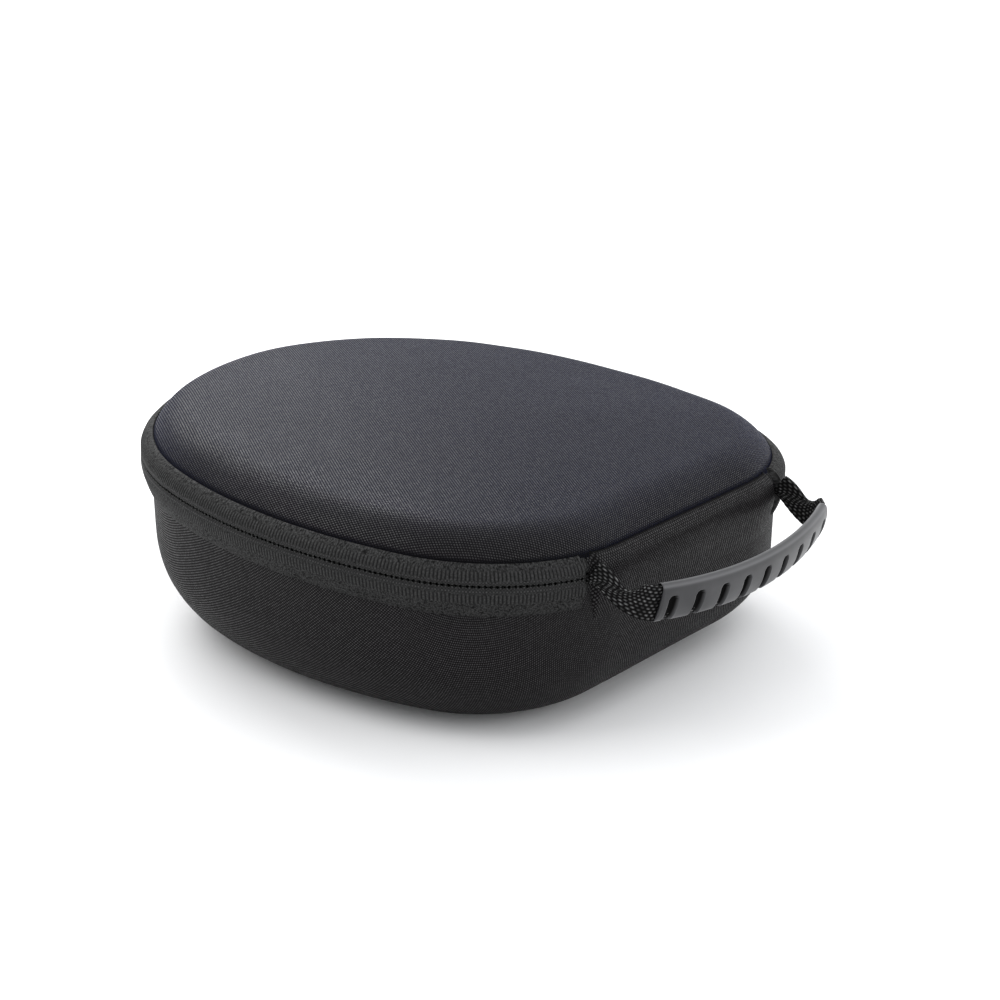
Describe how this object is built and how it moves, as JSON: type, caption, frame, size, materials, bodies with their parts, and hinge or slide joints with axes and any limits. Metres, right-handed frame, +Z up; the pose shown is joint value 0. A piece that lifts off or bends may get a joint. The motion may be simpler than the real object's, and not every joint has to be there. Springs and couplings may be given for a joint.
{
  "type": "headphone carrying case",
  "caption": "Zipped hard-shell carrying case with a hinged domed lid, a wide round end, a flat hinge side and a webbing handle with a slotted rubber grip.",
  "frame": {"origin": "middle of the body's length on the surface that the case stands on", "axes": "+Z up, +X across the case along the hinge, +Y from the flat hinge side to the round end"},
  "size_m": [0.217, 0.2674, 0.0856],
  "materials": {
    "woven_cover": "black woven polyester, plain weave with a faint sheen",
    "foam": "black moulded EVA foam",
    "lining": "brushed black tricot",
    "binding": "black woven edge tape",
    "zip_tape": "black knitted zip tape with raised ribs",
    "zip_coil": "black nylon coil",
    "pocket_mesh": "black net",
    "webbing": "chunky black polypropylene webbing",
    "grip_rubber": "satin dark grey moulded rubber",
    "slider_metal": "black lacquered die-cast metal"
  },
  "bodies": {
    "base": {"base_cover": "woven_cover", "base_foam_shell": "foam", "base_lining": "lining", "base_rim_binding": "binding", "base_zip_tape": "zip_tape", "base_zip_coil": "zip_coil", "hinge_panel": "woven_cover", "hinge_lining": "lining"},
    "lid": {"lid_cover": "woven_cover", "lid_foam_shell": "foam", "lid_lining": "lining", "lid_rim_binding": "binding", "lid_zip_tape": "zip_tape", "lid_zip_coil": "zip_coil", "mesh_pocket": "pocket_mesh", "pocket_elastic": "binding"},
    "handle": {"handle_strap": "webbing", "strap_end_left": "webbing", "strap_end_right": "webbing", "handle_grip": "grip_rubber"},
    "slider_left": {"slider_left": "slider_metal"},
    "pull_left": {"pull_link_left": "slider_metal", "pull_tab_left": "grip_rubber"},
    "slider_right": {"slider_right": "slider_metal"},
    "pull_right": {"pull_link_right": "slider_metal", "pull_tab_right": "grip_rubber"}
  },
  "joints": [
    {"name": "lid_hinge", "type": "hinge", "parent": "base", "child": "lid", "pos_m": [0, -0.115, 0.0581], "axis": [1, 0, 0], "range_deg": [0, 95], "deforming": ["hinge_panel", "hinge_lining"]},
    {"name": "handle_swing", "type": "hinge", "parent": "base", "child": "handle", "pos_m": [0, -0.11268, 0.0582], "axis": [1, 0, 0], "range_deg": [-45, 45], "deforming": ["strap_end_left", "strap_end_right"]},
    {"name": "slider_left_travel", "type": "hinge", "parent": "base", "child": "slider_left", "pos_m": [0, 0.011, 0.06402], "axis": [0, -0.0469, 0.9989], "range_deg": [0, 62]},
    {"name": "slider_right_travel", "type": "hinge", "parent": "base", "child": "slider_right", "pos_m": [0, 0.011, 0.06402], "axis": [0, 0.0469, -0.9989], "range_deg": [0, 62]},
    {"name": "pull_left_swing", "type": "hinge", "parent": "slider_left", "child": "pull_left", "pos_m": [-0.00792, 0.11914, 0.0691], "axis": [0.9973, 0.0729, 0.0034], "range_deg": [0, 150]},
    {"name": "pull_right_swing", "type": "hinge", "parent": "slider_right", "child": "pull_right", "pos_m": [0.00792, 0.11914, 0.0691], "axis": [0.9973, -0.0729, -0.0034], "range_deg": [0, 150]}
  ]
}
